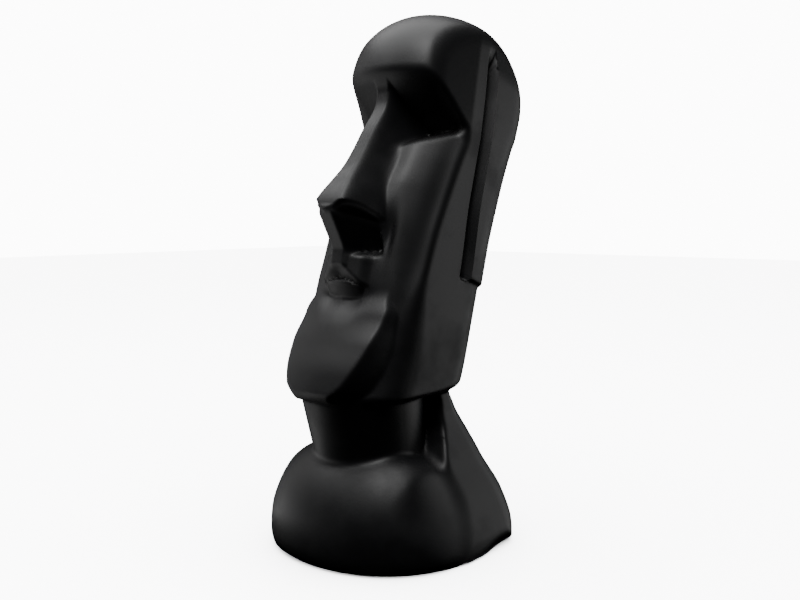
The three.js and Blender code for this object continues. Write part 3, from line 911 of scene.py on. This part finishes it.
@dataclass
class Statue:
    """The casting as a piece of the scene."""

    figure: Figure = field(default_factory=Figure)
    finish: CastResin = field(default_factory=CastResin)
    shade_angle: float = math.radians(40.0)

    def build(self) -> bpy.types.Object:
        """Shape the piece from a sphere, and dress it.

        Returns:
            The finished piece, in place of the solid.
        """
        rows, columns = self.figure.rows, self.figure.columns
        bpy.ops.object.select_all(action="DESELECT")
        bpy.ops.mesh.primitive_uv_sphere_add(segments=columns, ring_count=rows, radius=0.1)
        piece = bpy.context.object
        piece.name = "statue_casting"
        skin = self.figure.surface()
        places = self.sphere_order(piece.data, skin)
        piece.data.vertices.foreach_set("co", (places * MM).ravel())
        piece.data.update()
        bpy.ops.object.shade_smooth_by_angle(angle=self.shade_angle)
        piece.data.materials.append(self.finish.material())
        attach(piece, "root")
        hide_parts(NODE)
        return piece

    def sphere_order(self, mesh: bpy.types.Mesh, skin: Array) -> Array:
        """Put the surface's points in the order of the sphere's vertices.

        Args:
            mesh: The sphere, with its poles up and down.
            skin: The surface's points by row and column, from the top.

        Returns:
            A point in millimetres for each vertex.
        """
        spot = np.empty(len(mesh.vertices) * 3)
        mesh.vertices.foreach_get("co", spot)
        spot = spot.reshape(-1, 3)
        rows, columns = self.figure.rows, self.figure.columns
        flat = np.hypot(spot[:, 0], spot[:, 1])
        row = np.rint(np.arctan2(flat, spot[:, 2]) / math.pi * rows).astype(int)
        turn = np.arctan2(spot[:, 0], -spot[:, 1]) / math.tau + 0.5
        column = np.rint(turn * columns).astype(int) % columns
        top, bottom = skin[0].mean(axis=0), skin[-1].mean(axis=0)
        places = skin[np.clip(row - 1, 0, rows - 2), column]
        places[row == 0] = (top[0], top[1], self.top_height(top))
        places[row == rows] = (bottom[0], bottom[1], 0.0)
        return places

    def top_height(self, near: Array) -> float:
        """Find the height of the skull's top by halving.

        Args:
            near: The middle of the row next to the top.

        Returns:
            The height in millimetres.
        """
        low, high = near[2] - 1.0, near[2] + 5.0
        for _ in range(20):
            middle = (low + high) / 2.0
            if self.figure.form(np.array([near[0], near[1], middle])) < 0.0:
                low = middle
            else:
                high = middle
        return low


class Aim(Enum):
    """Where a light shines."""

    FIGURE = "figure"
    UP = "up"


@dataclass(frozen=True)
class SoftLight:
    """A square light: where it stands and its side in millimetres, and its power in watts."""

    name: str
    place: tuple[float, float, float]
    size: float
    watts: float
    aim: Aim = Aim.FIGURE
    figure_middle: tuple[float, float, float] = (0.0, 0.0, 130.0)

    def way(self) -> Array:
        """Give the direction in which it shines."""
        if self.aim is Aim.UP:
            return np.array((0.0, 0.0, 1.0))
        return np.array(self.figure_middle) - np.array(self.place)

    def build(self) -> None:
        """Set up the light, hidden from the camera itself."""
        light = bpy.data.lights.new(self.name, "AREA")
        light.energy = self.watts
        light.size = self.size * MM
        lamp = bpy.data.objects.new(self.name, light)
        bpy.context.collection.objects.link(lamp)
        lamp.location = [part * MM for part in self.place]
        lamp.rotation_euler = look_along(self.way())
        lamp.visible_camera = False


@dataclass
class Studio:
    """Pale floor, soft lights and the camera at the photograph's angle. Millimetres."""

    lights: tuple[SoftLight, ...] = (
        SoftLight("overhead", (-260.0, -60.0, 1100.0), 1300.0, 16.0),
        SoftLight("front", (330.0, -400.0, 1040.0), 400.0, 4.4),
        SoftLight("left", (-870.0, -230.0, 280.0), 900.0, 1.6),
        SoftLight("right", (425.0, 736.0, 90.0), 700.0, 1.6),
        SoftLight("table", (-380.0, -330.0, 4.0), 600.0, 1.1, Aim.UP),
    )
    floor_colour: str = "f4f4f5"
    floor_roughness: float = 0.6
    floor_half: float = 3000.0
    floor_light: float = 34.0
    floor_light_angle: float = math.radians(120.0)
    room_colour: tuple[float, float, float, float] = (1.0, 1.0, 1.0, 1.0)
    room_strength: float = 12.0
    azimuth: float = 40.0
    distance: float = 444.0
    camera_height: float = 158.0
    pitch_down: float = 5.3
    focal_pixels: float = 920.0
    frame_width: float = 800.0
    sensor_mm: float = 36.0
    axis_x: float = 389.0

    def build(self) -> None:
        """Set the floor, the lights, the world and the camera."""
        self.add_floor()
        for light in self.lights:
            light.build()
        self.add_floor_light()
        self.add_world()
        self.add_camera()

    def add_floor(self) -> None:
        """Lay a wide pale floor, which the statue neither mirrors nor takes light from."""
        bpy.ops.object.select_all(action="DESELECT")
        bpy.ops.mesh.primitive_plane_add(size=2.0 * self.floor_half * MM)
        floor = bpy.context.object
        floor.name = "floor"
        material = bpy.data.materials.new("pale_floor")
        material.use_nodes = True
        shader = material.node_tree.nodes["Principled BSDF"]
        shader.inputs["Base Color"].default_value = linear(self.floor_colour)
        shader.inputs["Roughness"].default_value = self.floor_roughness
        floor.data.materials.append(material)
        floor.visible_diffuse = False
        floor.visible_glossy = False

    def add_floor_light(self) -> None:
        """Light the floor alone, so that it stays white under the statue's soft shadow."""
        sky = bpy.data.lights.new("floor_light", "SUN")
        sky.energy = self.floor_light
        sky.angle = self.floor_light_angle
        lamp = bpy.data.objects.new("floor_light", sky)
        bpy.context.collection.objects.link(lamp)
        only_floor = bpy.data.collections.new("floor_only")
        only_floor.objects.link(bpy.data.objects["floor"])
        lamp.light_linking.receiver_collection = only_floor

    def add_world(self) -> None:
        """Fill the view behind the floor with even white, which only the camera sees."""
        world = bpy.data.worlds.new("room")
        world.use_nodes = True
        background = world.node_tree.nodes["Background"]
        background.inputs["Color"].default_value = self.room_colour
        background.inputs["Strength"].default_value = self.room_strength
        world.cycles_visibility.diffuse = False
        world.cycles_visibility.glossy = False
        bpy.context.scene.world = world

    def add_camera(self) -> None:
        """Put the camera where the photograph was taken from."""
        camera_data = bpy.data.cameras.new("camera")
        camera_data.sensor_width = self.sensor_mm
        camera_data.lens = self.sensor_mm * self.focal_pixels / self.frame_width
        camera = bpy.data.objects.new("camera", camera_data)
        bpy.context.collection.objects.link(camera)
        azimuth, pitch = math.radians(self.azimuth), math.radians(self.pitch_down)
        yaw = math.atan((self.frame_width / 2.0 - self.axis_x) / self.focal_pixels)
        out = np.array((math.sin(azimuth), -math.cos(azimuth), 0.0))
        right = np.array((math.cos(azimuth), math.sin(azimuth), 0.0))
        forward = -out * math.cos(pitch) + np.array((0.0, 0.0, -math.sin(pitch)))
        forward = forward * math.cos(yaw) + right * math.sin(yaw)
        camera.location = (out * self.distance + np.array((0.0, 0.0, self.camera_height))) * MM
        camera.rotation_euler = look_along(forward)
        bpy.context.scene.camera = camera


def look_along(way: Array) -> tuple[float, float, float]:
    """Turn a camera or lamp to look along a direction, level with the floor.

    Args:
        way: The direction.

    Returns:
        Its rotation as an XYZ Euler angle.
    """
    flat = math.hypot(way[0], way[1])
    return math.pi / 2.0 + math.atan2(way[2], flat), 0.0, math.atan2(-way[0], way[1])


def main() -> None:
    """Build the statue, dress it and set up the studio."""
    logging.basicConfig(level=logging.INFO, format="%(name)s: %(message)s")
    piece = Statue().build()
    log.info("%s: %d faces", piece.name, len(piece.data.polygons))
    Studio().build()


if __name__ == "__main__":
    main()
